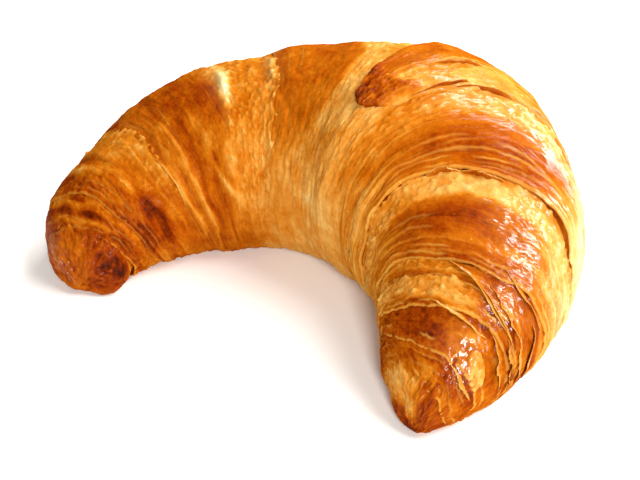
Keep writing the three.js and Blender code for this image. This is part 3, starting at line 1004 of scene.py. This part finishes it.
# Loose leaves: places and turns along the root, width towards the horn (signed), lift, rise at the
# root, tone. Each stands proud of the crust along its root line and ends in a thin ragged border.
LOOSE_LEAVES = (
    ((0.70, 0.745, 0.775, 0.795, 0.808), (114, 86, 64, 40, 8), 1.7, 1.1, 0.7, 0.46),
    ((0.715, 0.755, 0.782, 0.80, 0.812), (104, 80, 58, 34, 4), 1.5, 1.2, 0.5, 0.4),
    ((0.745, 0.768, 0.782, 0.79), (76, 58, 40, 12), 1.7, 1.3, 0.5, 0.5),
    ((0.70, 0.722, 0.74, 0.75), (78, 58, 36, 8), 1.6, 1.1, 0.4, 0.5),
    ((0.80, 0.815, 0.826, 0.83), (112, 90, 68, 44), 1.8, 1.2, 0.4, 0.34),
    ((0.812, 0.824, 0.832, 0.84), (52, 30, 10, -14), 2.6, 2.0, 0.5, 0.48),
    ((0.79, 0.803, 0.812, 0.82), (46, 24, 4, -18), 2.6, 1.8, 0.5, 0.52),
    ((0.768, 0.782, 0.793, 0.8), (38, 18, 0, -22), 2.6, 1.5, 0.5, 0.46),
    ((0.745, 0.76, 0.77, 0.776), (30, 12, -4, -24), 2.4, 1.2, 0.4, 0.48),
    ((0.895, 0.90, 0.905, 0.90), (70, 48, 26, 0), 1.5, 1.0, 0.4, 0.4),
    ((0.517, 0.515, 0.52, 0.528), (114, 108, 103, 98), 0.9, 0.6, 0.9, 0.3),
    ((0.526, 0.528, 0.536, 0.546), (98, 92, 86, 80), 1.1, 0.6, 0.9, 0.3),
    ((0.305, 0.298, 0.295, 0.288), (80, 88, 96, 106), 1.3, 0.9, 1.8, 0.34),
    ((0.345, 0.33, 0.315, 0.305), (62, 72, 82, 92), 1.2, 0.8, 1.6, 0.34),
    ((0.25, 0.24, 0.225, 0.2), (66, 76, 86, 96), 1.0, 0.7, 2.0, 0.34),
)


def loose_leaf(places, turns, width, lift, root, tone, seed):
    """Points and values of one loose leaf: a strip along the roll that widens towards the horn.

    Noise makes its outer border ragged. It rises as the distance across to the power 1.6, and thins out.
    """
    columns, rows = LEAF_GRID
    at = np.linspace(0, 1, columns)[:, None]
    out = np.linspace(0, 1, rows)[None]
    knots = np.linspace(0, 1, len(places))
    ends = np.clip(4 * at * (1 - at), 0, 1) ** 0.8
    ragged = 0.25 * soft_noise(at * 6, 0.5, seed) + 0.07 * soft_noise(at * 27, 0.5, seed + 1)
    reach = width * ends * (1 + ragged) * out
    place = through_points(knots, places, at) + reach / HALF_LENGTH
    turn = through_points(knots, turns, at) + 1.5 * soft_noise(at * 4, out * 2, seed + 2)
    curl = lift * ends * out**1.6 * (1 + 0.4 * soft_noise(at * 5, 0.5, seed + 3))
    high = lumps(place, turn) + root - 1.1 * (1 - out) ** 2 - 1.3 * (1 - ends)
    high = high + curl + 0.12 * soft_noise(at * 22, out * 3, seed + 4)
    low = high - 0.5 * (1 - out) - 0.22 - 1.2 * (1 - out) ** 2
    grid = np.stack([form_point(place, turn, high), form_point(place, turn, low)])
    shade = tone + 0.08 * soft_noise(at * 12, out * 2, seed + 5) - 0.08 * out
    # A bright brink on the outer border: partly paler dough, partly a painted highlight.
    fields = point_values(shade, 0.4, 0.6 * out**5, 0.8, place * HALF_LENGTH, turn * 0.5, seed)
    # Underneath, the leaf's tone is browner by 0.35: painted shade.
    return grid.reshape(-1, 3), slab_values(fields, 0.35)


def build_leaves(material):
    """All loose leaves of crust as one piece."""
    leaves = [loose_leaf(*leaf, 200 + 10 * number) for number, leaf in enumerate(LOOSE_LEAVES)]
    points = np.concatenate([leaf[0] for leaf in leaves])
    count = len(leaves[0][0])
    faces = np.concatenate([slab_faces(*LEAF_GRID) + count * number for number in range(len(leaves))])
    fields = {key: np.concatenate([leaf[1][key] for leaf in leaves]) for key in leaves[0][1]}
    return add_mesh("loose_leaves", points, faces, NO_TRIANGLES, fields, material)


# Materials


def rgb(red, green, blue):
    """Linear colour from the 0 to 255 values read off a picture."""
    values = np.array([red, green, blue]) / 255
    linear = np.where(values <= 0.04045, values / 12.92, ((values + 0.055) / 1.055) ** 2.4)
    return tuple(float(v) for v in linear) + (1.0,)


CRUST_RAMP = (
    (0.00, rgb(214, 184, 130)),
    (0.12, rgb(210, 161, 84)),
    (0.25, rgb(200, 135, 54)),
    (0.38, rgb(188, 111, 25)),
    (0.50, rgb(173, 90, 8)),
    (0.62, rgb(157, 73, 4)),
    (0.75, rgb(134, 50, 2)),
    (0.88, rgb(100, 31, 2)),
    (1.00, rgb(57, 15, 2)),
)


CRUST_LOOK = {
    "Coat Roughness": 0.17,
    "Coat IOR": 1.95,
    "Specular IOR Level": 0.0,
    "Subsurface Weight": 0.08,
    "Subsurface Radius": (0.003, 0.0015, 0.0006),
    "Subsurface Scale": 1.0,
}
# The faint glow stands in for the light of the room around the table
TABLE_LOOK = {
    "Base Color": (0.93, 0.92, 0.9, 1),
    "Roughness": 0.6,
    "Emission Color": (1.0, 0.98, 0.92, 1),
    "Emission Strength": 0.05,
}
RELIEF_HEIGHT = 0.35
# Pale gold of the leaves' bright borders: partly paler dough, partly a painted highlight
BRINK_COLOUR = rgb(205, 158, 68)
GROUP_INPUTS = {"Tone": "Float", "Gloss": "Float", "Brink": "Float", "Flow": "Vector", "Streaks": "Float"}
GROUP_OUTPUTS = {"Color": "Color", "Roughness": "Float", "Coat": "Float", "Height": "Float"}
# Attribute of the mesh that each input of the group reads
INPUT_ATTRIBUTES = {"Tone": "tone", "Gloss": "gloss", "Brink": "brink", "Streaks": "fibre", "Flow": "flow"}


def add_node(tree, kind, **values):
    """New node with these settings, in the next free spot of rows of ten."""
    count = len(tree.nodes)
    node = tree.nodes.new(kind)
    node.location = (200 * (count % 10), -300 * (count // 10))
    for key, value in values.items():
        setattr(node, key, value)
    return node


def calculate(operation, a, b, clamp):
    """Output of a math node on two numbers or sockets; clamp keeps it between 0 and 1."""
    tree = (b if isinstance(a, (int, float)) else a).id_data
    node = add_node(tree, "ShaderNodeMath", operation=operation, use_clamp=clamp)
    for socket, value in zip(node.inputs, (a, b)):
        if isinstance(value, (int, float)):
            socket.default_value = value
        else:
            tree.links.new(value, socket)
    return node.outputs[0]


def times(a, b, clamp=False):
    """Product of two numbers or sockets."""
    return calculate("MULTIPLY", a, b, clamp)


def plus(a, b, clamp=False):
    """Sum of two numbers or sockets."""
    return calculate("ADD", a, b, clamp)


def minus(a, b, clamp=False):
    """Difference of two numbers or sockets."""
    return calculate("SUBTRACT", a, b, clamp)


def centred(value, share):
    """A noise around zero: (value - 1/2) times the share."""
    return times(minus(value, 0.5), share)


def stretched_noise(vector, scale, detail=3.0, roughness=0.6):
    """Noise on stretched coordinates: the scale is in cycles for each of their units."""
    tree = vector.id_data
    mapping = add_node(tree, "ShaderNodeMapping")
    mapping.inputs["Scale"].default_value = scale
    tree.links.new(vector, mapping.inputs["Vector"])
    noise = add_node(tree, "ShaderNodeTexNoise")
    noise.inputs["Scale"].default_value = 1.0
    noise.inputs["Detail"].default_value = detail
    noise.inputs["Roughness"].default_value = roughness
    tree.links.new(mapping.outputs[0], noise.inputs["Vector"])
    return noise.outputs[0]


def crust_colour(tone, brink):
    """Colour of the tone on CRUST_RAMP, mixed with that of the leaves' bright borders."""
    tree = tone.id_data
    ramp = add_node(tree, "ShaderNodeValToRGB")
    elements = ramp.color_ramp.elements
    elements[0].position, elements[0].color = CRUST_RAMP[0]
    elements[1].position, elements[1].color = CRUST_RAMP[-1]
    for position, colour in CRUST_RAMP[1:-1]:
        elements.new(position).color = colour
    tree.links.new(tone, ramp.inputs[0])
    # Mixing in BRINK_COLOUR paints the bright borders: partly paler dough, partly a painted highlight.
    bright = add_node(tree, "ShaderNodeMix", data_type="RGBA")
    bright.inputs["B"].default_value = BRINK_COLOUR
    tree.links.new(ramp.outputs[0], bright.inputs["A"])
    tree.links.new(times(brink, 0.45), bright.inputs["Factor"])
    return bright.outputs["Result"]


def crust_group():
    """Node group: colour, roughness, coat and relief of baked dough from its tone, gloss and flow.

    Noises along the flow add streaks and short dashes, and noises of the object's own coordinates
    add blotches, grain and bubbles. Each is a share of the noise added to the tone or the relief.
    The pale dashes are partly pale flecks of flake and partly painted glints; the dark ones are
    painted shade in short cracks.
    """
    tree = bpy.data.node_groups.new("baked_dough", "ShaderNodeTree")
    for direction, sockets in (("INPUT", GROUP_INPUTS), ("OUTPUT", GROUP_OUTPUTS)):
        for label, kind in sockets.items():
            tree.interface.new_socket(label, in_out=direction, socket_type="NodeSocket" + kind)
    given = add_node(tree, "NodeGroupInput").outputs
    result = add_node(tree, "NodeGroupOutput").inputs
    coordinates = add_node(tree, "ShaderNodeTexCoord").outputs["Object"]
    flow, fibre, gloss = given["Flow"], given["Streaks"], given["Gloss"]

    streak = stretched_noise(flow, (0.8, 0.09, 1.0))
    fine = stretched_noise(flow, (2.4, 0.5, 1.0), 4.0)
    dash = stretched_noise(flow, (1.7, 0.55, 1.0), 2.0)
    blotch = stretched_noise(coordinates, (170, 170, 170))
    grain = stretched_noise(coordinates, (900, 900, 900), 3.0, 0.65)
    bubble = stretched_noise(coordinates, (420, 420, 420), 2.0)
    # Pale dashes: partly pale flecks, partly painted glints. Dark dashes: painted shade in short cracks.
    pale_dash_and_glint = times(minus(dash, 0.62), 9.0, clamp=True)
    crack_shade_dash = times(minus(0.36, dash), 9.0, clamp=True)

    tone = plus(given["Tone"], times(centred(streak, 0.24), fibre))
    tone = plus(tone, times(centred(fine, 0.14), fibre))
    tone = plus(plus(tone, centred(blotch, 0.42)), centred(grain, 0.26))
    dashes = minus(times(crack_shade_dash, 0.16), times(pale_dash_and_glint, 0.22))
    tone = plus(tone, times(dashes, fibre))
    tree.links.new(crust_colour(tone, given["Brink"]), result["Color"])

    dull = minus(0.6, times(gloss, 0.26))
    tree.links.new(plus(dull, centred(fine, 0.25), clamp=True), result["Roughness"])
    patchy = times(minus(fine, 0.35), 4.0, clamp=True)
    tree.links.new(times(gloss, patchy, clamp=True), result["Coat"])

    bumps = times(bubble, minus(0.75, gloss, clamp=True))
    relief = times(plus(times(streak, 0.35), times(fine, 0.4)), fibre)
    for noise, share in ((bumps, 1.7), (grain, 0.45), (pale_dash_and_glint, 0.35)):
        relief = plus(relief, times(noise, share))
    tree.links.new(relief, result["Height"])
    return tree


def principled_material(name, look):
    """Material with these constants on its shader's sockets, and that shader."""
    material = bpy.data.materials.new(name)
    material.use_nodes = True
    shader = material.node_tree.nodes["Principled BSDF"]
    for socket, value in look.items():
        shader.inputs[socket].default_value = value
    return material, shader


def golden_crust():
    """Material of baked dough: its group's colours and relief under a coat of egg wash."""
    material, shader = principled_material("golden_crust", CRUST_LOOK)
    tree = material.node_tree
    dough = add_node(tree, "ShaderNodeGroup")
    dough.node_tree = crust_group()
    for label, key in INPUT_ATTRIBUTES.items():
        source = add_node(tree, "ShaderNodeAttribute", attribute_name=key)
        tree.links.new(source.outputs["Vector" if key == "flow" else "Fac"], dough.inputs[label])
    bump = add_node(tree, "ShaderNodeBump")
    bump.inputs["Distance"].default_value = RELIEF_HEIGHT * METRE
    bump.inputs["Strength"].default_value = 1.0
    tree.links.new(dough.outputs["Height"], bump.inputs["Height"])
    for output, socket in (("Color", "Base Color"), ("Roughness", "Roughness"), ("Coat", "Coat Weight")):
        tree.links.new(dough.outputs[output], shader.inputs[socket])
    tree.links.new(bump.outputs["Normal"], shader.inputs["Normal"])
    return material


# Scene

TABLE_REACH = 3
# Lights: name, metres to the camera's right, away from it and up, size and power
LIGHTS = (
    ("back_window", (0.34, 0.5, 0.62), 0.4, 6.9),
    ("side_window", (0.5, -0.2, 0.64), 0.4, 6.8),
    ("front_fill", (0.1, -0.72, 0.48), 0.2, 5.6),
    ("rim_panel", (0.75, 0.62, 0.2), 0.35, 5.2),
)
LIGHT_TARGET = (0.01, 0.0, 0.03)
LIGHT_COLOUR = (1.0, 0.985, 0.96)
ROOM_COLOUR = (1.0, 0.97, 0.92, 1)
ROOM_STRENGTH = 0.32


def add_floor():
    """Flat square of table under the roll, as stage only."""
    mesh = bpy.data.meshes.new("table_top")
    corners = [(-1, -1), (1, -1), (1, 1), (-1, 1)]
    mesh.from_pydata([(TABLE_REACH * x, TABLE_REACH * y, 0) for x, y in corners], [], [(0, 1, 2, 3)])
    mesh.materials.append(principled_material("white_table", TABLE_LOOK)[0])
    add_object("table_top", mesh)


def aim(thing, place, direction):
    """Put a light or a camera at a place and let it look along a direction, upright."""
    thing.location = place
    thing.rotation_mode = "QUATERNION"
    thing.rotation_quaternion = direction.to_track_quat("-Z", "Y")


def add_light(name, place, size, power):
    """Square area light of a size in metres, turned to face the roll."""
    data = bpy.data.lights.new(name, "AREA")
    data.shape = "SQUARE"
    data.size = size
    data.energy = power
    data.color = LIGHT_COLOUR
    aim(add_object(name, data), place, Vector(LIGHT_TARGET) - place)


def camera_side(right, away, up):
    """World direction of so much to the camera's right, away from it and up."""
    a = math.radians(CAMERA_AZIMUTH)
    return Vector((math.cos(a) * right - math.sin(a) * away, math.sin(a) * right + math.cos(a) * away, up))


def add_lights():
    """The windows and panels of LIGHTS, and a pale room all around."""
    for name, place, size, power in LIGHTS:
        add_light(name, camera_side(*place), size, power)
    world = bpy.data.worlds.new("pale_room")
    world.use_nodes = True
    background = world.node_tree.nodes["Background"]
    background.inputs["Color"].default_value = ROOM_COLOUR
    background.inputs["Strength"].default_value = ROOM_STRENGTH
    bpy.context.scene.world = world


def add_camera():
    """Camera of the photograph, at its distance from the target along azimuth and elevation."""
    a, e = math.radians(CAMERA_AZIMUTH), math.radians(CAMERA_ELEVATION)
    back = Vector((math.sin(a) * math.cos(e), -math.cos(a) * math.cos(e), math.sin(e)))
    data = bpy.data.cameras.new("photo_camera")
    data.sensor_width = SENSOR_WIDTH
    data.lens = FOCAL_PIXELS / IMAGE_WIDTH * SENSOR_WIDTH
    data.clip_start, data.clip_end = 0.01, 20
    camera = add_object("photo_camera", data)
    aim(camera, Vector(CAMERA_TARGET) + back * CAMERA_DISTANCE, -back)
    bpy.context.scene.camera = camera


crust = golden_crust()
pieces = {layer["name"]: build_layer(layer, crust) for layer in LAYERS}
for name, border, side, seed in ENDS:
    build_end(name, border, side, seed, crust)
build_tongue(crust)
build_leaves(crust)
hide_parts("croissant")

add_floor()
add_lights()
add_camera()
bpy.context.scene.view_settings.view_transform = "Standard"
